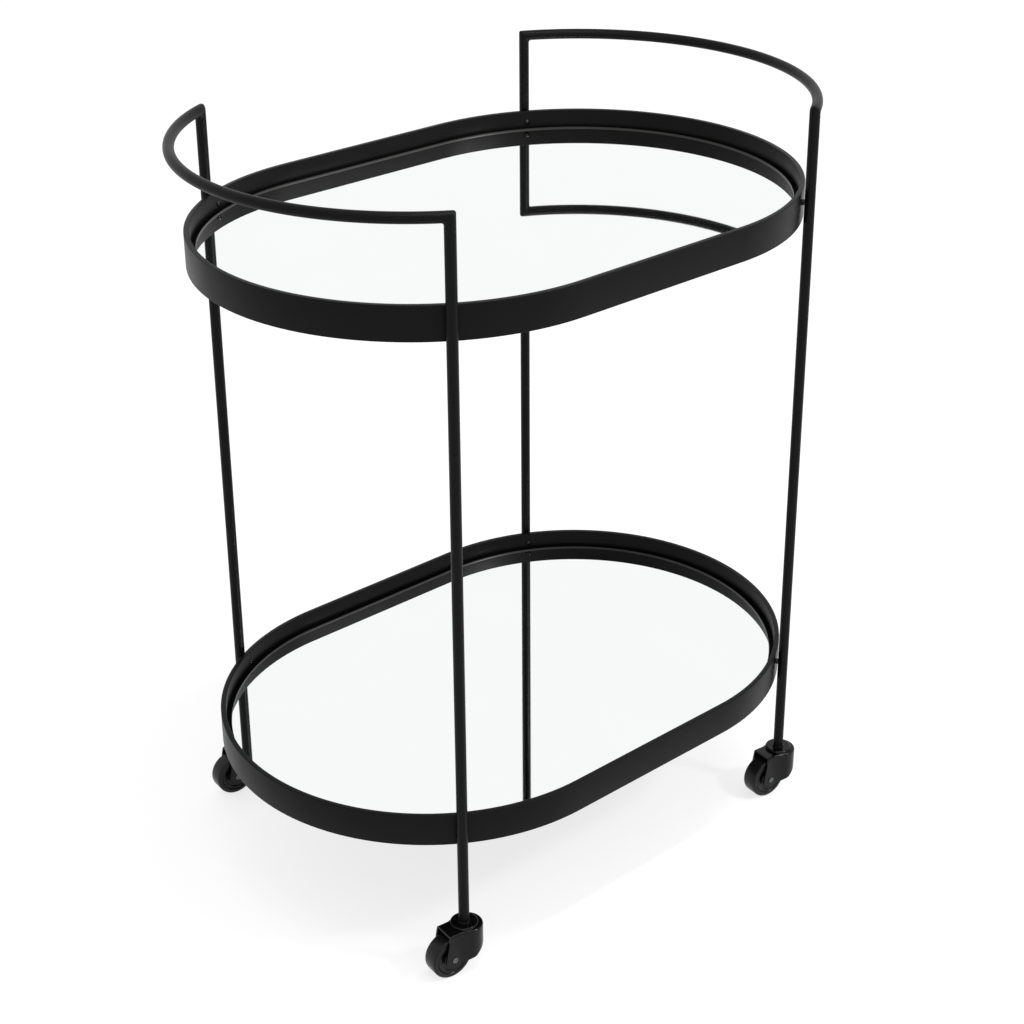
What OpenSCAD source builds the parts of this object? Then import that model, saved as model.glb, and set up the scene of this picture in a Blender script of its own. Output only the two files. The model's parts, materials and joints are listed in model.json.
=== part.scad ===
// Bar cart: two racetrack trays with mirror shelves, four tube posts, two curved
// push handles and four swivel casters.
// Origin on the floor below the middle of the cart, +X along the trays, +Z up.

/* [Trays] */
// Outside radius of a tray's rounded ends
tray_r = 251; // [240:1:260]
// Half the length of a tray's straight sides
tray_half_straight = 114; // [90:1:130]
// Height of the flat band round each tray
band_h = 38; // [32:1:45]
// Thickness of the band
band_t = 6; // [5:0.5:7]
// Height of the upper band's top edge above the floor
upper_rim_z = 783; // [700:1:850]
// Height of the lower band's top edge above the floor
lower_rim_z = 195; // [170:1:260]

/* [Mirrors] */
// Depth of the glass surface below the band's top edge
glass_depth = 20; // [18:0.5:21]
// Thickness of the mirror glass
glass_t = 4; // [3:0.5:4]
// Thickness of the backing sheet under the glass
backing_t = 3; // [2:0.5:3]
// Gap between the glass and the band
glass_gap = 5; // [4:0.5:7]
// Width of the ledge that carries the glass
ledge_w = 18; // [14:1:24]
// Thickness of the ledge
ledge_t = 3; // [2:0.5:3]

/* [Posts and handles] */
// Outside diameter of the frame tube
tube_d = 12; // [12:0.5:14]
// Wall thickness of the frame tube
tube_wall = 1.2; // [1:0.1:1.4]
// Space between the band and a post
post_gap = 2.3; // [1.5:0.1:4]
// Angle of the front posts round the tray ends, from the long axis
front_post_angle = 57; // [50:0.5:64]
// Angle of the back posts round the tray ends, from the long axis
back_post_angle = 62.5; // [50:0.5:66]
// Height of the handle tube's centre above the upper band
handle_rise = 91; // [70:1:120]
// Depth of the tray screws below a band's top edge
screw_depth = 13.5; // [10:0.5:15]

/* [Casters] */
// Wheel diameter
wheel_d = 50; // [50:1:52]
// Width of the tyre
tyre_w = 20; // [17:0.5:20]
// Distance from the swivel axis to the wheel axis
trail = 21.5; // [18:0.5:22]
// Turn of the casters about the upright axis at rest, from the long axis
caster_turn = 6; // [0:1:45]
// Height of the top of the caster fork above the floor
fork_top_z = 57.5; // [57:0.5:60]
// Half the width of the fork over its cheeks
fork_half_w = 13.5; // [13:0.25:14.5]
// Thickness of the fork's sheet metal
fork_t = 2; // [1.5:0.1:2]
// Diameter of the axle
axle_d = 5; // [4.5:0.1:5.5]

/* [Hidden] */
$fn = 96;

// Signs of the corners: left is -1 along X, front is -1 along Y
FRONT_LEFT = [-1, -1];
FRONT_RIGHT = [1, -1];
BACK_LEFT = [-1, 1];
BACK_RIGHT = [1, 1];
CORNERS = [FRONT_LEFT, FRONT_RIGHT, BACK_LEFT, BACK_RIGHT];

// Frame
rail_r = tray_r + post_gap + tube_d / 2;
handle_z = upper_rim_z + handle_rise;
tube_bore = tube_d - 2 * tube_wall;

// Tray screws
screw_d = 4;
screw_hole_d = 4.4;
screw_head_d = 7;
screw_head_h = 2.2;
spacer_d = 6.5;
insert_d = 6;
insert_l = 5;

// Caster stack above the fork, from the fork's top upwards
bearing_gap = 0.3;
cap_d = 31;
cap_h = 3;
socket_flange_h = 1.4;
socket_l = 32;
stem_d = 8;
ball_d = 3;
ball_count = 14;
ball_ring_r = 11;
cap_z = fork_top_z + bearing_gap;
socket_z = cap_z + cap_h;
post_z = socket_z + socket_flange_h;
fork_bottom_z = 14;
fork_back_r = 18;
fork_back_x = 3.5;
fork_side_start = 13;
crown_front = trail + 5;
cheek_r = 11;
fork_front = trail + cheek_r + 1;

// Wheel
wheel_r = wheel_d / 2;
axle_fit = 0.05;
bush_d = 8;
tyre_bore_r = 19;
hub_half_w = fork_half_w - fork_t - 0.5;

function post_angle(corner) = corner[1] < 0 ? front_post_angle : back_post_angle;
function post_x(corner) = corner[0] * (tray_half_straight + rail_r * cos(post_angle(corner)));
function post_y(corner) = corner[1] * rail_r * sin(post_angle(corner));

// Draws its children, made for the back right corner's side of both axes, at a corner
module mirrored_to(corner) {
    mirror([corner[0] < 0 ? 1 : 0, 0, 0])
        mirror([0, corner[1] < 0 ? 1 : 0, 0])
            children();
}

// Places children at a post, with X pointing squarely out of the band
module at_band(corner, z) {
    mirrored_to(corner)
        translate([tray_half_straight, 0, z])
            rotate([0, 0, post_angle(corner)])
                children();
}

// Places children on a caster's swivel axis at floor level, with the wheel trailing along -X
module at_caster(corner) {
    translate([post_x(corner), post_y(corner), 0])
        rotate([0, 0, -caster_turn])
            children();
}

// Racetrack outline, drawn in by the given distance
module racetrack(inset) {
    square([2 * tray_half_straight, 2 * (tray_r - inset)], center = true);
    for (side = [-1, 1]) {
        translate([side * tray_half_straight, 0])
            circle(r = tray_r - inset, $fn = 256);
    }
}

// ---- Trays ----

module band(rim_z) {
    color("#191919")
        difference() {
            translate([0, 0, rim_z - band_h])
                linear_extrude(band_h)
                    difference() {
                        racetrack(0);
                        racetrack(band_t);
                    }
            for (corner = CORNERS) {
                at_band(corner, rim_z - screw_depth)
                    translate([tray_r - 2 * band_t, 0, 0])
                        rotate([0, 90, 0])
                            cylinder(d = screw_hole_d, h = 3 * band_t, $fn = 48);
            }
        }
}

module ledge(rim_z) {
    color("#151515")
        translate([0, 0, rim_z - glass_depth - glass_t - backing_t - ledge_t])
            linear_extrude(ledge_t)
                difference() {
                    racetrack(band_t);
                    racetrack(band_t + ledge_w);
                }
}

module shelf_sheet(top_z, thickness) {
    translate([0, 0, top_z - thickness])
        linear_extrude(thickness)
            racetrack(band_t + glass_gap);
}

module mirror_glass(rim_z) {
    color("#dfe6e6") shelf_sheet(rim_z - glass_depth, glass_t);
}

module backing(rim_z) {
    color("#2a2a2a") shelf_sheet(rim_z - glass_depth - glass_t, backing_t);
}

// ---- Posts and handles ----

// Half-space block on one side of the mitre plane at the end of the rail arc:
// side 1 is the side beyond the end and below, side -1 the handle's side
module mitre_block(corner, side) {
    block = 4 * tube_d;
    translate([tray_half_straight, 0, handle_z])
        rotate([0, 0, post_angle(corner)])
            translate([rail_r, 0, 0])
                rotate([-45, 0, 0])
                    translate([-block / 2, side > 0 ? 0 : -block, -block / 2])
                        cube(block);
}

module post(corner) {
    color("#1b1b1b")
        mirrored_to(corner)
            difference() {
                translate([abs(post_x(corner)), abs(post_y(corner)), post_z])
                    tube_length(handle_z + tube_d - post_z);
                mitre_block(corner, -1);
                for (rim_z = [upper_rim_z, lower_rim_z]) {
                    translate([tray_half_straight, 0, rim_z - screw_depth])
                        rotate([0, 0, post_angle(corner)])
                            translate([tray_r, 0, 0])
                                rotate([0, 90, 0])
                                    cylinder(d = insert_d, h = post_gap + tube_d / 2, $fn = 48);
                }
            }
}

module tube_length(length) {
    difference() {
        cylinder(d = tube_d, h = length);
        translate([0, 0, -1])
            cylinder(d = tube_bore, h = length + 2);
    }
}

module handle(side) {
    overrun = 3;
    color("#1b1b1b")
        mirror([side < 0 ? 1 : 0, 0, 0])
            difference() {
                translate([tray_half_straight, 0, handle_z])
                    rotate([0, 0, -front_post_angle - overrun])
                        rotate_extrude(angle = front_post_angle + back_post_angle + 2 * overrun)
                            translate([rail_r, 0])
                                difference() {
                                    circle(d = tube_d);
                                    circle(d = tube_bore);
                                }
                mitre_block(BACK_RIGHT, 1);
                mirror([0, 1, 0])
                    mitre_block(FRONT_RIGHT, 1);
            }
}

// ---- Tray fastenings ----

// Steel sleeves between the band and the posts, hollowed to sit on the band and the tube
module spacers(rim_z) {
    color("#b9bcbf")
        for (corner = CORNERS) {
            difference() {
                at_band(corner, rim_z - screw_depth)
                    translate([tray_r - 1, 0, 0])
                        rotate([0, 90, 0])
                            cylinder(d = spacer_d, h = post_gap + 2, $fn = 48);
                mirrored_to(corner)
                    translate([tray_half_straight, 0, 0])
                        cylinder(r = tray_r, h = upper_rim_z + band_h, $fn = 256);
                translate([post_x(corner), post_y(corner), 0])
                    cylinder(d = tube_d, h = upper_rim_z + band_h);
                at_band(corner, rim_z - screw_depth)
                    translate([tray_r - 2, 0, 0])
                        rotate([0, 90, 0])
                            cylinder(d = screw_hole_d, h = post_gap + 4, $fn = 48);
            }
        }
}

// Domed screws that hold a band to its posts, heads inside the tray
module screws(rim_z) {
    color("#8d9093")
        for (corner = CORNERS) {
            at_band(corner, rim_z - screw_depth) {
                translate([tray_r - band_t - 0.1, 0, 0])
                    rotate([0, 90, 0])
                        cylinder(d = screw_d, h = band_t + post_gap + insert_l, $fn = 48);
                translate([tray_r - band_t - 0.1, 0, 0])
                    rotate([0, -90, 0])
                        screw_head();
            }
        }
}

module screw_head() {
    difference() {
        rotate_extrude($fn = 48)
            intersection() {
                square([screw_head_d / 2, screw_head_h]);
                translate([0, -1.6])
                    circle(r = 3.9);
            }
        translate([0, 0, screw_head_h - 1.2])
            cylinder(d = 2.8, h = 2, $fn = 6);
    }
}

// Threaded inserts set in the post walls behind the spacers
module inserts(rim_z) {
    color("#a9a27c")
        for (corner = CORNERS) {
            intersection() {
                at_band(corner, rim_z - screw_depth)
                    translate([tray_r + post_gap - 0.5, 0, 0])
                        rotate([0, 90, 0])
                            difference() {
                                cylinder(d = insert_d, h = insert_l + 0.5, $fn = 48);
                                translate([0, 0, -1])
                                    cylinder(d = screw_d, h = insert_l + 2, $fn = 48);
                            }
                translate([post_x(corner), post_y(corner), 0])
                    cylinder(d = tube_d, h = upper_rim_z + band_h);
            }
        }
}

// ---- Casters: fixed pieces ----

// Plugs pressed into the post ends, with a flange below the tube
module caster_sockets() {
    color("#141414")
        for (corner = CORNERS) {
            at_caster(corner)
                rotate_extrude()
                    difference() {
                        union() {
                            translate([0, socket_z])
                                square([tube_d / 2 + 0.8, socket_flange_h]);
                            translate([0, socket_z])
                                square([tube_bore / 2, socket_flange_h + socket_l]);
                        }
                        translate([0, socket_z - 1])
                            square([stem_d / 2, socket_l + 4]);
                    }
        }
}

// Stems held in the sockets, with a riveted head under each fork
module caster_stems() {
    color("#77797b")
        for (corner = CORNERS) {
            at_caster(corner)
                rotate_extrude() {
                    translate([0, fork_top_z - fork_t - 2.3])
                        square([6, 2]);
                    translate([0, fork_top_z - fork_t - 2.3])
                        square([stem_d / 2, post_z + socket_l - 2 - fork_top_z + fork_t + 2.3]);
                }
        }
}

// Shallow caps over the bearing balls, fixed to the stems
module raceway_caps() {
    color("#0d0d0d")
        for (corner = CORNERS) {
            at_caster(corner)
                rotate_extrude()
                    difference() {
                        translate([stem_d / 2, cap_z])
                            raceway_section();
                        translate([ball_ring_r, fork_top_z + 0.5])
                            circle(r = ball_d / 2 + 0.1, $fn = 48);
                    }
        }
}

// Cap section from the stem outwards, with a rounded upper rim
module raceway_section() {
    reach = cap_d / 2 - stem_d / 2;
    round_r = 1.6;
    square([reach - round_r, cap_h]);
    square([reach, cap_h - round_r]);
    translate([reach - round_r, cap_h - round_r])
        circle(r = round_r, $fn = 48);
}

// ---- Casters: swivelling pieces ----

module bearing_balls(corner) {
    color("#c9cbcd")
        at_caster(corner)
            for (i = [0 : ball_count - 1]) {
                rotate([0, 0, i * 360 / ball_count])
                    translate([ball_ring_r, 0, fork_top_z + 0.5])
                        sphere(d = ball_d, $fn = 32);
            }
}

// Plan of the fork, drawn in by the given distance: a round back that tapers to parallel cheeks.
// The wheel's side is along -X.
module fork_plan(inset) {
    r = fork_back_r - inset;
    half_w = fork_half_w - inset;
    front = fork_front + inset;
    reach = norm([fork_back_x + fork_side_start, half_w]);
    touch = atan2(half_w, fork_back_x + fork_side_start) + acos(r / reach);
    touch_x = fork_back_x - r * cos(touch);
    touch_y = r * sin(touch);
    translate([fork_back_x, 0])
        circle(r = r);
    polygon([[touch_x, touch_y], [-fork_side_start, half_w], [-front, half_w],
             [-front, -half_w], [-fork_side_start, -half_w], [touch_x, -touch_y]]);
}

// Solid bounded by the fork's side outline: X towards the wheel's side, Y up
module fork_side() {
    linear_extrude(100, center = true)
        polygon([[-22, 36], [-22, fork_top_z], [crown_front, fork_top_z],
                 [trail + cheek_r - 0.3, wheel_r + 2], [trail, wheel_r], [trail - 7, wheel_r - 8.5],
                 [-4, 22]]);
    translate([trail, wheel_r, 0])
        cylinder(r = cheek_r, h = 100, center = true);
}

module fork_shell() {
    difference() {
        translate([0, 0, fork_bottom_z])
            linear_extrude(fork_top_z - fork_bottom_z)
                fork_plan(0);
        translate([0, 0, fork_bottom_z - 1])
            linear_extrude(fork_top_z - fork_t - fork_bottom_z + 1)
                fork_plan(fork_t);
    }
}

module fork(corner) {
    color("#0d0d0d")
        at_caster(corner)
            difference() {
                intersection() {
                    fork_shell();
                    mirror([1, 0, 0])
                        rotate([90, 0, 0])
                            fork_side();
                }
                translate([0, 0, fork_top_z - fork_t - 1])
                    cylinder(d = stem_d + 0.1, h = fork_t + 2);
                rotate_extrude()
                    translate([ball_ring_r, fork_top_z + 0.5])
                        circle(r = ball_d / 2 + 0.1, $fn = 48);
                translate([-trail, 0, wheel_r])
                    rotate([90, 0, 0])
                        cylinder(d = axle_d, h = 100, center = true, $fn = 48);
            }
}

// Riveted axle with a shallow dimple in each head
module axle(corner) {
    head_d = 7;
    head_h = 1;
    color("#55575a")
        at_caster(corner)
            translate([-trail, 0, wheel_r])
                rotate([90, 0, 0])
                    difference() {
                        union() {
                            cylinder(d = axle_d, h = 2 * fork_half_w, center = true, $fn = 48);
                            for (side = [-1, 1]) {
                                translate([0, 0, side * (fork_half_w + head_h / 2)])
                                    cylinder(d = head_d, h = head_h, center = true, $fn = 48);
                            }
                        }
                        for (side = [-1, 1]) {
                            translate([0, 0, side * (fork_half_w + head_h)])
                                sphere(d = 2.4, $fn = 32);
                        }
                    }
}

// ---- Casters: rolling pieces ----

// Revolves a section about the wheel's axis
module on_wheel(corner) {
    at_caster(corner)
        translate([-trail, 0, wheel_r])
            rotate([90, 0, 0])
                rotate_extrude($fn = 128)
                    children();
}

module wheel_bush(corner) {
    bore_r = axle_d / 2 + axle_fit;
    color("#d8d2bf")
        on_wheel(corner)
            translate([bore_r, -hub_half_w])
                square([bush_d / 2 - bore_r, 2 * hub_half_w]);
}

// Wheel centre: hub, recessed web and the rim under the tyre
module wheel_centre(corner) {
    web_half_w = 4.5;
    hub_r = 6.5;
    rim_half_w = tyre_w / 2 - 0.8;
    rim_t = 2.2;
    color("#101010")
        on_wheel(corner) {
            translate([bush_d / 2, -hub_half_w + 0.2])
                square([hub_r - bush_d / 2, 2 * (hub_half_w - 0.2)]);
            translate([hub_r - 0.5, -web_half_w])
                square([tyre_bore_r - hub_r, 2 * web_half_w]);
            translate([tyre_bore_r - rim_t, -rim_half_w])
                square([rim_t, 2 * rim_half_w]);
        }
}

// Tyre with rounded shoulders
module tyre(corner) {
    shoulder_r = 2.6;
    color("#0b0b0b")
        on_wheel(corner) {
            translate([tyre_bore_r, -tyre_w / 2])
                square([wheel_r - shoulder_r - tyre_bore_r, tyre_w]);
            translate([tyre_bore_r, -(tyre_w / 2 - shoulder_r)])
                square([wheel_r - tyre_bore_r, tyre_w - 2 * shoulder_r]);
            for (side = [-1, 1]) {
                translate([wheel_r - shoulder_r, side * (tyre_w / 2 - shoulder_r)])
                    circle(r = shoulder_r, $fn = 48);
            }
        }
}

band(upper_rim_z);  // upper_band
band(lower_rim_z);  // lower_band
ledge(upper_rim_z);  // upper_ledge
ledge(lower_rim_z);  // lower_ledge
mirror_glass(upper_rim_z);  // upper_mirror
mirror_glass(lower_rim_z);  // lower_mirror
backing(upper_rim_z);  // upper_backing
backing(lower_rim_z);  // lower_backing
post(FRONT_LEFT);  // post_front_left
post(FRONT_RIGHT);  // post_front_right
post(BACK_LEFT);  // post_back_left
post(BACK_RIGHT);  // post_back_right
handle(-1);  // handle_left
handle(1);  // handle_right
spacers(upper_rim_z);  // upper_spacers
spacers(lower_rim_z);  // lower_spacers
screws(upper_rim_z);  // upper_screws
screws(lower_rim_z);  // lower_screws
inserts(upper_rim_z);  // upper_inserts
inserts(lower_rim_z);  // lower_inserts
caster_sockets();
caster_stems();
raceway_caps();
bearing_balls(FRONT_LEFT);  // bearing_balls_front_left
bearing_balls(FRONT_RIGHT);  // bearing_balls_front_right
bearing_balls(BACK_LEFT);  // bearing_balls_back_left
bearing_balls(BACK_RIGHT);  // bearing_balls_back_right
fork(FRONT_LEFT);  // fork_front_left
fork(FRONT_RIGHT);  // fork_front_right
fork(BACK_LEFT);  // fork_back_left
fork(BACK_RIGHT);  // fork_back_right
axle(FRONT_LEFT);  // axle_front_left
axle(FRONT_RIGHT);  // axle_front_right
axle(BACK_LEFT);  // axle_back_left
axle(BACK_RIGHT);  // axle_back_right
wheel_centre(FRONT_LEFT);  // wheel_centre_front_left
wheel_centre(FRONT_RIGHT);  // wheel_centre_front_right
wheel_centre(BACK_LEFT);  // wheel_centre_back_left
wheel_centre(BACK_RIGHT);  // wheel_centre_back_right
wheel_bush(FRONT_LEFT);  // wheel_bush_front_left
wheel_bush(FRONT_RIGHT);  // wheel_bush_front_right
wheel_bush(BACK_LEFT);  // wheel_bush_back_left
wheel_bush(BACK_RIGHT);  // wheel_bush_back_right
tyre(FRONT_LEFT);  // tyre_front_left
tyre(FRONT_RIGHT);  // tyre_front_right
tyre(BACK_LEFT);  // tyre_back_left
tyre(BACK_RIGHT);  // tyre_back_right
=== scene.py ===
"""Bar cart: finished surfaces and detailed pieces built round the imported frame."""

import json
import math

import bmesh
import bpy
from mathutils import Matrix, Vector


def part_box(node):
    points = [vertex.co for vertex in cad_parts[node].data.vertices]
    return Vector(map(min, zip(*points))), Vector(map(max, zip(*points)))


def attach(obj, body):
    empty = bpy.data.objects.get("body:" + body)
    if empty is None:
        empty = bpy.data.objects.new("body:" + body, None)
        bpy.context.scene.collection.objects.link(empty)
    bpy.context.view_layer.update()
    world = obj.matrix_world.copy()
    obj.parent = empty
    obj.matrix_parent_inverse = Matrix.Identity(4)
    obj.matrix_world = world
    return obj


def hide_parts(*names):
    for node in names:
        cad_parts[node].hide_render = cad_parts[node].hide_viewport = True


bl_info = {
    "name": "Bar cart",
    "version": (1, 0, 0),
    "blender": (4, 5, 0),
    "location": "3D View > Sidebar > Bar Cart",
    "description": "Tube frame, racetrack trays with mirrors and swivel casters",
    "category": "Object",
}

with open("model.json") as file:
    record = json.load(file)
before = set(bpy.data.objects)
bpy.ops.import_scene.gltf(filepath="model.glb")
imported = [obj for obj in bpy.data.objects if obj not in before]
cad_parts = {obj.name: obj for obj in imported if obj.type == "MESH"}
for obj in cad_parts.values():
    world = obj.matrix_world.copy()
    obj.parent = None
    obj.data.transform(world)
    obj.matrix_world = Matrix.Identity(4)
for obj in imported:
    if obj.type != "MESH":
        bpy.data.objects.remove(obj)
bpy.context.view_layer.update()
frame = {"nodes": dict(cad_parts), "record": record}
FRAME_BODY = "frame"
CORNERS = ("front_left", "front_right", "back_left", "back_right")
TRAYS = ("upper", "lower")
MM = 0.001
# New outlines stay this far inside the outermost CAD faces
INSIDE = 0.02 * MM
# Points closer than this are one point
SAME_PLACE = 0.001 * MM
# Steps in half a turn of a tray and of a handle, and in a full turn of a wheel and of a rivet
ARC_STEPS = 72
WHEEL_STEPS = 96
RIVET_STEPS = 48
TUBE_SIDES = 36


# ---- Sizes and colours ----


class CartSizes(bpy.types.PropertyGroup):
    """Edge and surface sizes that the frame's own boxes don't give"""

    tube_corner: bpy.props.FloatProperty(
        name="Tube corner", description="Rounding of the welded corners between posts and handles",
        default=2.6 * MM, unit="LENGTH", subtype="DISTANCE")
    band_edge: bpy.props.FloatProperty(
        name="Band edge", description="Rounding of the tray bands' long edges",
        default=0.9 * MM, unit="LENGTH", subtype="DISTANCE")
    mirror_depth: bpy.props.FloatProperty(
        name="Silver depth", description="Depth at which the mirror's silver seems to lie below the glass",
        default=1.6 * MM, unit="LENGTH", subtype="DISTANCE")
    ground_edge: bpy.props.FloatProperty(
        name="Ground edge", description="Width of the ground edge round the glass",
        default=0.6 * MM, unit="LENGTH", subtype="DISTANCE")
    tyre_width: bpy.props.FloatProperty(
        name="Tyre width", description="Width of the tyre across its faces",
        default=20 * MM, unit="LENGTH", subtype="DISTANCE")
    hub_width: bpy.props.FloatProperty(
        name="Hub width", description="Width of the wheel's hub",
        default=21.6 * MM, unit="LENGTH", subtype="DISTANCE")
    axle_length: bpy.props.FloatProperty(
        name="Axle length", description="Length of the axle rivet over its heads",
        default=29 * MM, unit="LENGTH", subtype="DISTANCE")
    hood_shoulder: bpy.props.FloatProperty(
        name="Hood shoulder", description="Rounding between the top and the sides of the caster hood",
        default=2.4 * MM, unit="LENGTH", subtype="DISTANCE")
    hood_edge: bpy.props.FloatProperty(
        name="Hood edge", description="Rounding of the pressed caster hood's edges",
        default=0.7 * MM, unit="LENGTH", subtype="DISTANCE")
    tyre_shoulder: bpy.props.FloatProperty(
        name="Tyre shoulder", description="Rounding of the tyre's shoulders",
        default=2.6 * MM, unit="LENGTH", subtype="DISTANCE")


class CartColours(bpy.types.PropertyGroup):
    """Finish colours as sRGB hex"""

    powder_coat: bpy.props.StringProperty(
        name="Powder coat", description="Colour of the frame and the trays", default="070707")
    gloss_black: bpy.props.StringProperty(
        name="Gloss black", description="Colour of the caster hoods", default="060606")
    moulded_black: bpy.props.StringProperty(
        name="Moulded black", description="Colour of the wheel centres", default="090909")
    tyre_black: bpy.props.StringProperty(
        name="Tyre black", description="Colour of the tyres", default="0C0C0C")
    fastener_black: bpy.props.StringProperty(
        name="Fastener black", description="Colour of the blackened screws and spacers",
        default="2C2C2E")
    silvering: bpy.props.StringProperty(
        name="Silvering", description="Tint of the mirrors", default="F8F9F9")
    floor: bpy.props.StringProperty(
        name="Floor", description="Colour of the studio floor", default="F4F4F4")


# ---- Shared helpers ----


def srgb(hex_colour):
    """Linear RGBA from an sRGB hex colour."""
    channels = [int(hex_colour[i:i + 2], 16) / 255 for i in (0, 2, 4)]
    return tuple(c / 12.92 if c <= 0.04045 else ((c + 0.055) / 1.055) ** 2.4 for c in channels) + (1,)


def shade(colour, factor):
    return tuple(c * factor for c in colour[:3]) + (1,)


def colours():
    return bpy.context.scene.cart_colours


def sizes():
    return bpy.context.scene.cart_sizes


# ---- Materials ----


def add_node(tree, kind, links, values=None, **settings):
    """Adds one shader node. links joins its inputs to other nodes' outputs, values sets its other inputs
    and settings its properties. Inputs go by name, or by number where two share a name."""
    node = tree.nodes.new(kind)
    for key, setting in settings.items():
        setattr(node, key, setting)
    for key, value in (values or {}).items():
        node.inputs[key].default_value = value
    for key, output in links.items():
        tree.links.new(output, node.inputs[key])
    return node


def speckle(tree, spacing, detail):
    """Noise over the piece's own coordinates, its spots this many millimetres apart, on each axis where
    they differ."""
    spacings = spacing if isinstance(spacing, tuple) else (spacing,) * 3
    place = add_node(tree, "ShaderNodeTexCoord", {}).outputs["Object"]
    stretched = add_node(tree, "ShaderNodeMapping", {"Vector": place},
                         {"Scale": [1 / (mm * MM) for mm in spacings]}).outputs["Vector"]
    return add_node(tree, "ShaderNodeTexNoise", {"Vector": stretched},
                    {"Scale": 1.0, "Detail": detail}).outputs["Fac"]


def surface(name, colour, pattern, sheen, shades=(1, 1), reliefs=(), metallic=0.0, specular=0.5):
    """A material, made once. Over pattern, a spacing in millimetres and a detail, its roughness runs
    through sheen and its colour through shades. Each of reliefs is a spacing and a depth in millimetres
    with a detail and a strength, the finest first. What doesn't vary is set on the shader itself."""
    material = bpy.data.materials.get(name)
    if material:
        return material
    material = bpy.data.materials.new(name)
    material.use_nodes = True
    tree = material.node_tree
    shader = tree.nodes["Principled BSDF"]
    shader.inputs["Base Color"].default_value = colour
    shader.inputs["Roughness"].default_value = sum(sheen) / 2
    shader.inputs["Metallic"].default_value = metallic
    shader.inputs["Specular IOR Level"].default_value = specular
    spots = speckle(tree, *pattern)
    if sheen[0] != sheen[1]:
        rough = add_node(tree, "ShaderNodeMapRange", {"Value": spots},
                         {"To Min": sheen[0], "To Max": sheen[1]})
        tree.links.new(rough.outputs["Result"], shader.inputs["Roughness"])
    if shades[0] != shades[1]:
        tint = add_node(tree, "ShaderNodeMix", {0: spots},
                        {6: shade(colour, shades[0]), 7: shade(colour, shades[1])}, data_type="RGBA")
        tree.links.new(tint.outputs[2], shader.inputs["Base Color"])
    below = {}
    for spacing, detail, strength, depth in reliefs:
        bump = add_node(tree, "ShaderNodeBump", {"Height": speckle(tree, spacing, detail), **below},
                        {"Strength": strength, "Distance": depth * MM})
        below = {"Normal": bump.outputs["Normal"]}
    if below:
        tree.links.new(below["Normal"], shader.inputs["Normal"])
    return material


def powder_coat():
    """Satin black powder coat, sprayed and baked: faint orange peel breaks up the highlights, grain too
    fine to be seen by itself softens them, and the sheen drifts slowly where the coat lies thicker."""
    return surface("powder_coat", srgb(colours().powder_coat), (45.5, 3.0), (0.33, 0.47), (0.85, 1.2),
                   [(0.385, 1.0, 0.12, 0.1), (1.43, 2.0, 0.16, 0.2)], specular=0.1)


def ledge_paint():
    """Black primer brushed on the ledge under the glass: matte, with faint brush drag."""
    return surface("ledge_paint", srgb("080808"), (5.56, 4.0), (0.6, 0.85),
                   reliefs=[(5.56, 4.0, 0.2, 0.3)], specular=0.15)


def silvered_glass():
    """Float glass silvered on its back: a clean mirror with a barely visible haze of dust."""
    return surface("silvered_glass", srgb(colours().silvering), (111, 5.0), (0.008, 0.03), (0.985, 1),
                   metallic=1.0)


def ground_glass_painted_shade():
    """The glass's ground edge: frosted and a little green, with fine belt scratches; its near-black colour
    is painted shade, the dark gap behind it seen through the glass.
    """
    # The near-black colour is painted shade: the dark gap under the glass's edge, painted onto the edge
    # itself
    return surface("ground_glass_painted_shade", srgb("1D1E1A"), (0.667, 3.0), (0.25, 0.5), (0.8, 1.15), specular=0.35)


def painted_board():
    """Sealed fibreboard painted black: flat, with a faint felted texture."""
    return surface("painted_board", srgb("171717"), (2, 5.0), (0.8, 0.8), (0.7, 1.3),
                   [(2, 5.0, 0.25, 0.2)], specular=0.25)


def gloss_enamel():
    """Dipped gloss black enamel on pressed steel: deep, wet highlights with a slow ripple."""
    return surface("gloss_enamel", srgb(colours().gloss_black), (11.1, 4.0), (0.07, 0.16),
                   reliefs=[(3.85, 1.5, 0.1, 0.3)], specular=0.18)


def moulded_nylon():
    """Black nylon wheel centre from a polished mould: glossy, with faint flow lines."""
    return surface("moulded_nylon", srgb(colours().moulded_black), (6.67, 3.0), (0.22, 0.34),
                   reliefs=[(6.67, 3.0, 0.04, 0.2)], specular=0.2)


def rolled_tyre():
    """Hard black tyre, turned true after moulding: satin, with fine lines round it and floor dust. The
    lines are close together along the axle and long round the wheel."""
    return surface("rolled_tyre", srgb(colours().tyre_black), (3.33, 5.0), (0.27, 0.37), (0.8, 1.5),
                   [((25, 0.385, 25), 1.0, 0.06, 0.1)], specular=0.2)


def plated_steel(name, hex_colour, roughness):
    """Plated turned steel: fine tool marks soften the highlights and the plating clouds a little."""
    return surface(name, srgb(hex_colour), (3.33, 3.0), (roughness * 0.8, roughness * 1.3), (0.85, 1),
                   [(0.556, 2.0, 0.1, 0.1)], metallic=1.0)


def moulded_plastic(name, hex_colour, roughness):
    """Moulded plastic with the fine spark texture of its mould, which dulls the highlight."""
    return surface(name, srgb(hex_colour), (0.455, 2.0), (roughness * 0.85, roughness * 1.2),
                   reliefs=[(0.455, 2.0, 0.15, 0.1)])


def glowing_acrylic():
    """White acrylic floor lit from below: nearly shadowless, so that shadows on it stay pale."""
    glow = 0.735
    material = surface("glowing_acrylic", srgb(colours().floor), (833, 2.0), (0.9, 0.9), (0.32, 0.34),
                       specular=0.0)
    shader = material.node_tree.nodes["Principled BSDF"]
    shader.inputs["Emission Color"].default_value = (1, 1, 1, 1)
    shader.inputs["Emission Strength"].default_value = glow
    return material


# ---- Mesh helpers ----


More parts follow.
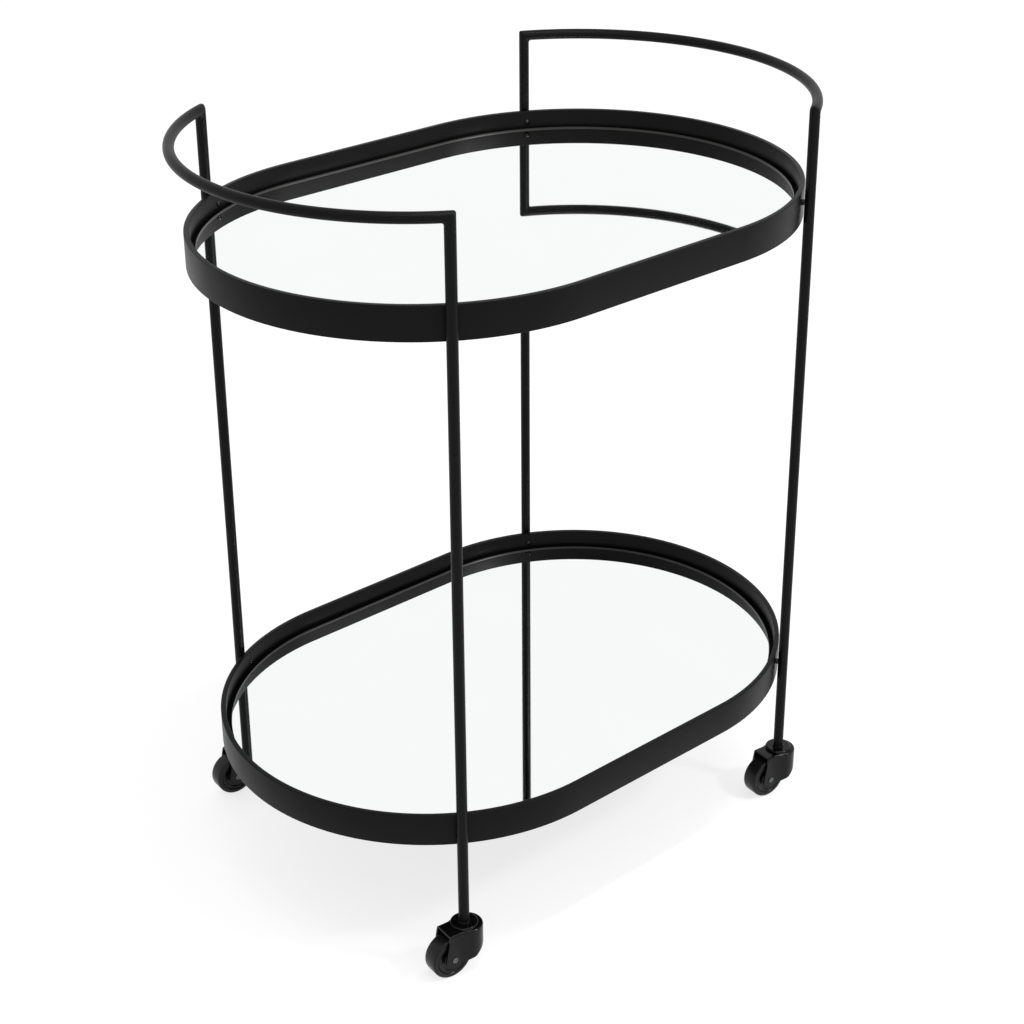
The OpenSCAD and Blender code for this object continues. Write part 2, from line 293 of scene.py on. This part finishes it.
def finish_piece(bm, name, body, materials, replaced, sharp=math.radians(32)):
    """Turns a bmesh into a piece that rides on a body and stands for its CAD nodes. Edges that turn more
    than sharp stay crisp."""
    bmesh.ops.remove_doubles(bm, verts=bm.verts, dist=SAME_PLACE)
    bmesh.ops.recalc_face_normals(bm, faces=bm.faces)
    mesh = bpy.data.meshes.new(name)
    bm.to_mesh(mesh)
    bm.free()
    for polygon in mesh.polygons:
        polygon.use_smooth = True
    mesh.set_sharp_from_angle(angle=sharp)
    for material in materials:
        mesh.materials.append(material)
    piece = bpy.data.objects.new(name, mesh)
    bpy.context.scene.collection.objects.link(piece)
    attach(piece, body)
    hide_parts(*replaced)
    return piece


def coat_node(node, material):
    """Gives a CAD node that stays in view its finish."""
    mesh = frame["nodes"][node].data
    mesh.materials.clear()
    mesh.materials.append(material)
    mesh.update()


def wire(bm, points, closed=True):
    """A few vertices joined into an outline, to be spun or swept."""
    verts = [bm.verts.new(p) for p in points]
    pairs = list(zip(verts, verts[1:] + verts[:1])) if closed else list(zip(verts, verts[1:]))
    return verts, [bm.edges.new(pair) for pair in pairs]


def parts_of(geometry, kind):
    return [g for g in geometry if isinstance(g, kind)]


def extend(bm, edges):
    """Extrudes open edges and returns the new verts and edges."""
    new = bmesh.ops.extrude_edge_only(bm, edges=edges)["geom"]
    return parts_of(new, bmesh.types.BMVert), parts_of(new, bmesh.types.BMEdge)


def turn(bm, verts, edges, centre, angle, steps):
    """Spins open edges about a vertical axis and returns the last verts and edges."""
    last = bmesh.ops.spin(bm, geom=verts + edges, cent=centre, axis=(0, 0, 1), angle=angle,
                          steps=steps, use_duplicate=False)["geom_last"]
    return parts_of(last, bmesh.types.BMVert), parts_of(last, bmesh.types.BMEdge)


def sweep_racetrack(bm, verts, edges, half_straight):
    """Sweeps an outline that starts at the front end of the right-hand arc once round a racetrack."""
    for side in (1, -1):
        verts, edges = turn(bm, verts, edges, (side * half_straight, 0, 0), math.pi, ARC_STEPS)
        verts, edges = extend(bm, edges)
        bmesh.ops.translate(bm, verts=verts, vec=(-side * 2 * half_straight, 0, 0))
    # Many turning steps leave the last outline a few micrometres off the first
    bmesh.ops.remove_doubles(bm, verts=bm.verts, dist=0.01 * MM)


def bevel_edges(bm, edges, offset, segments):
    """Rounds edges off."""
    bmesh.ops.bevel(bm, geom=edges, offset=offset, offset_type="OFFSET", affect="EDGES",
                    segments=segments, profile=0.5, material=-1, clamp_overlap=True)


def lathe(bm, profile, steps, closed=True):
    """Spins (radius, height, rounding) points about the local Z axis and rounds the rings."""
    verts, edges = wire(bm, [(r, 0, h) for r, h, _ in profile], closed)
    bmesh.ops.spin(bm, geom=verts + edges, cent=(0, 0, 0), axis=(0, 0, 1), angle=2 * math.pi,
                   steps=steps, use_merge=True, use_duplicate=False)
    bmesh.ops.remove_doubles(bm, verts=bm.verts, dist=SAME_PLACE)
    for r, h, rounding in profile:
        if rounding:
            ring = [e for e in bm.edges
                    if all(abs(v.co.xy.length - r) < SAME_PLACE and abs(v.co.z - h) < SAME_PLACE
                           for v in e.verts)]
            bevel_edges(bm, ring, rounding, 4)


def mirrored(half_profile):
    """Completes the upper half of a wheel's outline with its mirror image below."""
    return half_profile + [(r, -h, rounding) for r, h, rounding in reversed(half_profile)]


def close_ring(bm, near):
    """Fills the one open ring for whose points near is true, and returns its face in a list."""
    ring = [e for e in bm.edges if e.is_boundary and near(e.verts[0].co)]
    return bmesh.ops.holes_fill(bm, edges=ring, sides=0)["faces"]


def tray_shape(tray):
    """Half the straight, the band's outer and inner radius and its heights, for one tray."""
    low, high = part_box(f"{tray}_band")
    radius = high.y
    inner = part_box(f"{tray}_ledge")[1].y
    return {"half": high.x - radius, "outer": radius - INSIDE, "inner": inner, "low": low.z,
            "rim": high.z}


def upright_radius(node):
    """Radius of a wheel part from its height, which its turn about the swivel doesn't change."""
    low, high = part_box(node)
    return (high.z - low.z) / 2


def joint_value(name, key):
    for joint in frame["record"]["behaviour"]["joints"]:
        if joint["name"] == name:
            return Vector(joint[key])
    raise RuntimeError(f"the frame has no joint {name}")


# ---- Pieces ----


class CART_OT_side_frames(bpy.types.Operator):
    """Each side's two posts and handle as one welded and blended tube"""

    bl_idname = "cart.side_frames"
    bl_label = "Side frames"

    def execute(self, context):
        tray = tray_shape("upper")
        for side, name in ((1, "right"), (-1, "left")):
            self.build(side, name, tray["half"])
        return {"FINISHED"}

    def build(self, side, name, half):
        """Made for the right side about the middle of the tray's end, then moved out and mirrored."""
        low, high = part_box("post_front_right")
        tube_r = (high.x - low.x) / 2 - INSIDE
        bottom = low.z
        front = self.post_place("post_front_right", half)
        back = self.post_place("post_back_right", half)
        rail_r = front.length
        front_angle, back_angle = math.atan2(front.y, front.x), math.atan2(back.y, back.x)
        handle_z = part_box("handle_right")[1].z - tube_r - INSIDE
        # The tube's rings nearest a mitre stand this far off, with room for its rounding
        reach = tube_r + 5 * MM
        lead = reach / rail_r

        def local(angle):
            """From the frame to the upright plane through a post, its axis at the origin."""
            return Matrix.Translation((-rail_r, 0, 0)) @ Matrix.Rotation(-angle, 4, "Z")

        def reshape(verts, angle, rows):
            """Applies rows of a matrix to a ring in its post's own plane."""
            place = local(angle)
            bmesh.ops.transform(bm, matrix=place.inverted() @ Matrix(rows) @ place, verts=verts)

        bm = bmesh.new()
        ring = bmesh.ops.create_circle(bm, radius=tube_r, segments=TUBE_SIDES)["verts"]
        edges = list({e for v in ring for e in v.link_edges})
        bmesh.ops.transform(bm, matrix=local(front_angle).inverted(), verts=ring)
        bmesh.ops.translate(bm, verts=ring, vec=(0, 0, bottom))
        ring, edges = extend(bm, edges)
        bmesh.ops.translate(bm, verts=ring, vec=(0, 0, handle_z - reach - bottom))
        # Front mitre: the far side of the ring rises and the handle's side drops
        ring, edges = extend(bm, edges)
        bmesh.ops.translate(bm, verts=ring, vec=(0, 0, reach))
        reshape(ring, front_angle, ((1, 0, 0, 0), (0, 1, 0, 0), (0, -1, 1, 0), (0, 0, 0, 1)))
        mitres = list(edges)
        ring, edges = extend(bm, edges)
        reshape(ring, front_angle, ((1, 0, 0, 0), (0, 0, 0, 0), (0, 0, 1, 0), (0, 0, 0, 1)))
        bmesh.ops.rotate(bm, verts=ring, cent=(0, 0, 0), matrix=Matrix.Rotation(lead, 3, "Z"))
        ring, edges = turn(bm, ring, edges, (0, 0, 0), back_angle - front_angle - 2 * lead, ARC_STEPS)
        # Back mitre, the same way round
        ring, edges = extend(bm, edges)
        bmesh.ops.rotate(bm, verts=ring, cent=(0, 0, 0), matrix=Matrix.Rotation(lead, 3, "Z"))
        reshape(ring, back_angle, ((1, 0, 0, 0), (0, 0, 1, -handle_z), (0, 0, 1, 0), (0, 0, 0, 1)))
        mitres += edges
        ring, edges = extend(bm, edges)
        reshape(ring, back_angle, ((1, 0, 0, 0), (0, 1, 0, 0), (0, 0, 0, handle_z - reach), (0, 0, 0, 1)))
        ring, edges = extend(bm, edges)
        bmesh.ops.translate(bm, verts=ring, vec=(0, 0, bottom - handle_z + reach))
        bevel_edges(bm, mitres, sizes().tube_corner, 6)
        for end in (-1, 1):
            close_ring(bm, lambda co: co.y * end > 0)
        bmesh.ops.translate(bm, verts=bm.verts, vec=(half, 0, 0))
        bmesh.ops.scale(bm, verts=bm.verts, vec=(side, 1, 1))
        finish_piece(bm, f"side_frame_{name}", FRAME_BODY, [powder_coat()],
                     [f"handle_{name}", f"post_front_{name}", f"post_back_{name}"], math.radians(60))

    def post_place(self, post, half):
        """A post's axis as seen from the middle of the tray's end."""
        low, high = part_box(post)
        return Vector(((low.x + high.x) / 2 - half, (low.y + high.y) / 2, 0))


class CART_OT_bands(bpy.types.Operator):
    """Flat tray bands with softened long edges"""

    bl_idname = "cart.bands"
    bl_label = "Tray bands"

    def execute(self, context):
        for name in TRAYS:
            tray = tray_shape(name)
            bm = bmesh.new()
            verts, edges = wire(bm, [(tray["half"], -tray["outer"], tray["low"]),
                                     (tray["half"], -tray["outer"], tray["rim"]),
                                     (tray["half"], -tray["inner"], tray["rim"]),
                                     (tray["half"], -tray["inner"], tray["low"])])
            sweep_racetrack(bm, verts, edges, tray["half"])
            long_edges = [e for e in bm.edges if e.calc_face_angle() > math.radians(70)]
            bevel_edges(bm, long_edges, sizes().band_edge, 4)
            finish_piece(bm, f"tray_band_{name}", FRAME_BODY, [powder_coat()],
                         [f"{name}_band"])
        return {"FINISHED"}


class CART_OT_mirrors(bpy.types.Operator):
    """Mirror glass with its ground edge standing just proud of the silver"""

    bl_idname = "cart.mirrors"
    bl_label = "Mirrors"

    def execute(self, context):
        for name in TRAYS:
            tray = tray_shape(name)
            low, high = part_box(f"{name}_mirror")
            radius = high.y
            silver = high.z - sizes().mirror_depth
            lip_top = high.z - 0.1 * MM
            arris = 0.4 * MM
            inner = radius - sizes().ground_edge
            bm = bmesh.new()
            outline = [(radius, low.z), (radius, lip_top - arris), (radius - arris, lip_top),
                       (inner, lip_top), (inner - 0.2 * MM, silver)]
            verts, edges = wire(bm, [(tray["half"], -r, z) for r, z in outline], closed=False)
            sweep_racetrack(bm, verts, edges, tray["half"])
            close_ring(bm, lambda co: co.z < low.z + MM)
            for face in close_ring(bm, lambda co: co.z > low.z + MM):
                face.material_index = 1
            finish_piece(bm, f"mirror_{name}", FRAME_BODY, [ground_glass_painted_shade(), silvered_glass()],
                         [f"{name}_mirror"])
        return {"FINISHED"}


class CART_OT_caster_hoods(bpy.types.Operator):
    """Pressed caster hoods with a rounded shoulder and rolled edges"""

    bl_idname = "cart.caster_hoods"
    bl_label = "Caster hoods"

    def execute(self, context):
        for corner in CORNERS:
            bm = bmesh.new()
            bm.from_mesh(frame["nodes"][f"fork_{corner}"].data)
            bmesh.ops.remove_doubles(bm, verts=bm.verts, dist=SAME_PLACE)
            bmesh.ops.dissolve_limit(bm, angle_limit=math.radians(0.8), verts=bm.verts, edges=bm.edges)
            bevel_edges(bm, self.shoulder(bm, corner), sizes().hood_shoulder, 6)
            piece = finish_piece(bm, f"hood_{corner}", f"swivel_{corner}", [gloss_enamel()],
                                 [f"fork_{corner}"], math.radians(35))
            rolled = piece.modifiers.new("rolled_edges", "BEVEL")
            rolled.width = sizes().hood_edge
            rolled.segments = 3
            rolled.limit_method = "ANGLE"
            rolled.angle_limit = math.radians(40)
            rolled.harden_normals = True
        return {"FINISHED"}

    def shoulder(self, bm, corner):
        """Edges between the hood's top and the outside of its upright walls."""
        axis = joint_value(f"swivel_{corner}", "pos_m")
        chosen = []
        for edge in bm.edges:
            if not edge.is_manifold:
                continue
            top, wall = sorted(edge.link_faces, key=lambda face: -face.normal.z)
            middle = (edge.verts[0].co + edge.verts[1].co) / 2
            outward = middle - axis
            outward.z = 0
            if (top.normal.z > 0.99 and abs(wall.normal.z) < 0.1 and abs(middle.z - axis.z) < 0.1 * MM
                    and wall.normal.dot(outward) > 0):
                chosen.append(edge)
        return chosen


class CART_OT_wheels(bpy.types.Operator):
    """Tyres, dished wheel centres and riveted axles"""

    bl_idname = "cart.wheels"
    bl_label = "Wheels"

    def execute(self, context):
        for corner in CORNERS:
            self.build(corner)
        return {"FINISHED"}

    def build(self, corner):
        wheel_r = upright_radius(f"tyre_{corner}") - INSIDE
        bore = upright_radius(f"wheel_centre_{corner}")
        half_w = sizes().tyre_width / 2
        # A groove parts the tyre's face from the wheel centre's rim
        groove_w, groove_depth = 1.1 * MM, 1.3 * MM
        edge = 0.4 * MM
        outline = [(bore, half_w - groove_depth, edge), (bore + groove_w, half_w, edge),
                   (wheel_r, half_w, sizes().tyre_shoulder)]
        self.turned(f"tread_{corner}", corner, outline, WHEEL_STEPS, f"wheel_{corner}", rolled_tyre(),
                    "tyre_rubber", f"tyre_{corner}")

        bush_r = upright_radius(f"wheel_bush_{corner}")
        hub_r, hub_w = 6.5 * MM, sizes().hub_width / 2
        rim_r, rim_w = 16.6 * MM, half_w - 0.6 * MM
        # The floor of the dish, from the foot of the hub to the foot of the rim
        foot_r, foot_w = hub_r + 2 * MM, 7.0 * MM
        slope_r, slope_w = rim_r - 2.6 * MM, 7.2 * MM
        outline = [(bush_r, hub_w, 0), (hub_r, hub_w, 0.5 * MM), (foot_r, foot_w, 1.0 * MM),
                   (slope_r, slope_w, 1.5 * MM), (rim_r, rim_w, 0.8 * MM),
                   (bore - 0.9 * MM, rim_w, edge), (bore, half_w - groove_depth - 0.1 * MM, 0)]
        self.turned(f"wheel_disc_{corner}", corner, outline, WHEEL_STEPS, f"wheel_{corner}",
                    moulded_nylon(), "wheel_plastic", f"wheel_centre_{corner}")

        head_r, head_h, shank_r = upright_radius(f"axle_{corner}"), 1 * MM, 2.5 * MM
        end = sizes().axle_length / 2
        dimple_r, dimple_floor_r = 1.4 * MM, 0.8 * MM
        outline = [(0, end - 0.7 * MM, 0), (dimple_floor_r, end - 0.6 * MM, 0),
                   (dimple_r, end, 0.2 * MM), (head_r, end, 0.35 * MM), (head_r, end - head_h, 0),
                   (shank_r, end - head_h, 0)]
        self.turned(f"rivet_{corner}", corner, outline, RIVET_STEPS, f"swivel_{corner}",
                    plated_steel("dark_rivet", "5E6062", 0.34), "rivet_steel", f"axle_{corner}", False)

    def turned(self, name, corner, outline, steps, body, material, slot, node, closed=True):
        """A piece lathed about the local Z axis, then laid along the wheel's axle."""
        bm = bmesh.new()
        lathe(bm, mirrored(outline), steps, closed)
        axle = joint_value(f"roll_{corner}", "axis").to_track_quat("Z", "Y").to_matrix().to_4x4()
        place = Matrix.Translation(joint_value(f"roll_{corner}", "pos_m")) @ axle
        bmesh.ops.transform(bm, matrix=place, verts=bm.verts)
        finish_piece(bm, name, body, [material], [node])


class CART_OT_finishes(bpy.types.Operator):
    """Finishes for the CAD pieces that stay in view"""

    bl_idname = "cart.finishes"
    bl_label = "Finishes"

    def execute(self, context):
        blackened = plated_steel("black_oxide", colours().fastener_black, 0.22)
        for name in TRAYS:
            coat_node(f"{name}_ledge", ledge_paint())
            coat_node(f"{name}_backing", painted_board())
            coat_node(f"{name}_spacers", blackened)
            coat_node(f"{name}_screws", blackened)
            coat_node(f"{name}_inserts", plated_steel("turned_brass", "C8A860", 0.3))
        coat_node("caster_sockets", moulded_plastic("socket_nylon", "121212", 0.35))
        coat_node("caster_stems", plated_steel("stem_steel", "8E9092", 0.32))
        coat_node("raceway_caps", gloss_enamel())
        for corner in CORNERS:
            coat_node(f"bearing_balls_{corner}", plated_steel("ball_steel", "D4D6D8", 0.1))
            coat_node(f"wheel_bush_{corner}", moulded_plastic("natural_nylon", "D8D2C0", 0.5))
        return {"FINISHED"}


class CART_OT_stage(bpy.types.Operator):
    """Pale floor, soft studio light and the camera"""

    bl_idname = "cart.stage"
    bl_label = "Stage"

    def execute(self, context):
        self.floor()
        self.room(context.scene)
        # A long strip overhead draws the tops of the tubes, a small box in front the casters' edges
        self.light("overhead_strip", (0.3, -0.75, 3.0), (0.3, -0.3, 0), (2.6, 0.12), 34)
        self.light("front_box", (0.85, -1.6, 1.8), (-0.1, -0.2, 0.1), (0.28, 0.28), 18)
        self.camera(context.scene)
        return {"FINISHED"}

    def floor(self):
        reach = 9
        bm = bmesh.new()
        bmesh.ops.create_grid(bm, x_segments=8, y_segments=8, size=reach)
        mesh = bpy.data.meshes.new("studio_floor")
        bm.to_mesh(mesh)
        bm.free()
        mesh.materials.append(glowing_acrylic())
        floor = bpy.data.objects.new("studio_floor", mesh)
        bpy.context.scene.collection.objects.link(floor)

    def room(self, scene):
        """White walls all round, which are what the mirrors show."""
        world = bpy.data.worlds.new("studio")
        world.use_nodes = True
        background = world.node_tree.nodes["Background"]
        background.inputs["Color"].default_value = (1, 1, 1, 1)
        background.inputs["Strength"].default_value = 1.0
        scene.world = world
        scene.view_settings.view_transform = "Standard"

    def light(self, name, place, target, size, watts):
        light = bpy.data.lights.new(name, "AREA")
        light.shape = "RECTANGLE"
        light.size, light.size_y = size
        light.energy = watts
        lamp = bpy.data.objects.new(name, light)
        lamp.location = place
        lamp.rotation_mode = "QUATERNION"
        lamp.rotation_quaternion = (Vector(target) - Vector(place)).to_track_quat("-Z", "Y")
        bpy.context.scene.collection.objects.link(lamp)

    def camera(self, scene):
        """Looks along yaw from +Y towards +X, down by pitch, and leans by roll."""
        yaw, pitch, roll = math.radians(41.5), math.radians(25.53), math.radians(-0.23)
        place = Vector((-1.4096, -1.6253, 1.5131))
        forward = Vector((math.sin(yaw) * math.cos(pitch), math.cos(yaw) * math.cos(pitch),
                          -math.sin(pitch)))
        level = Vector((math.cos(yaw), -math.sin(yaw), 0))
        upright = level.cross(forward)
        right = level * math.cos(roll) + upright * math.sin(roll)
        up = upright * math.cos(roll) - level * math.sin(roll)
        data = bpy.data.cameras.new("camera")
        data.sensor_width = 36
        data.lens = 72.69
        data.shift_x, data.shift_y = -0.0121, -0.0703
        data.clip_start, data.clip_end = 0.05, 60
        camera = bpy.data.objects.new("camera", data)
        facing = Matrix((right, up, -forward)).transposed().to_4x4()
        camera.matrix_world = Matrix.Translation(place) @ facing
        scene.collection.objects.link(camera)
        scene.camera = camera


# ---- Panel and start ----

OPERATORS = (CART_OT_side_frames, CART_OT_bands, CART_OT_mirrors, CART_OT_caster_hoods, CART_OT_wheels,
             CART_OT_finishes, CART_OT_stage)


class CART_PT_panel(bpy.types.Panel):
    """Lists the cart's sizes, colours and pieces"""

    bl_idname = "CART_PT_panel"
    bl_label = "Bar Cart"
    bl_space_type = "VIEW_3D"
    bl_region_type = "UI"
    bl_category = "Bar Cart"

    def draw(self, context):
        for group in (context.scene.cart_sizes, context.scene.cart_colours):
            box = self.layout.box()
            for key in group.__annotations__:
                box.prop(group, key)
        for operator in OPERATORS:
            self.layout.operator(operator.bl_idname)


CLASSES = (CartSizes, CartColours, *OPERATORS, CART_PT_panel)


def register():
    for cls in CLASSES:
        bpy.utils.register_class(cls)
    bpy.types.Scene.cart_sizes = bpy.props.PointerProperty(type=CartSizes)
    bpy.types.Scene.cart_colours = bpy.props.PointerProperty(type=CartColours)


def unregister():
    del bpy.types.Scene.cart_colours
    del bpy.types.Scene.cart_sizes
    for cls in reversed(CLASSES):
        bpy.utils.unregister_class(cls)


def main():
    register()
    for operator in OPERATORS:
        group, name = operator.bl_idname.split(".")
        getattr(getattr(bpy.ops, group), name)()


if __name__ == "__main__":
    main()
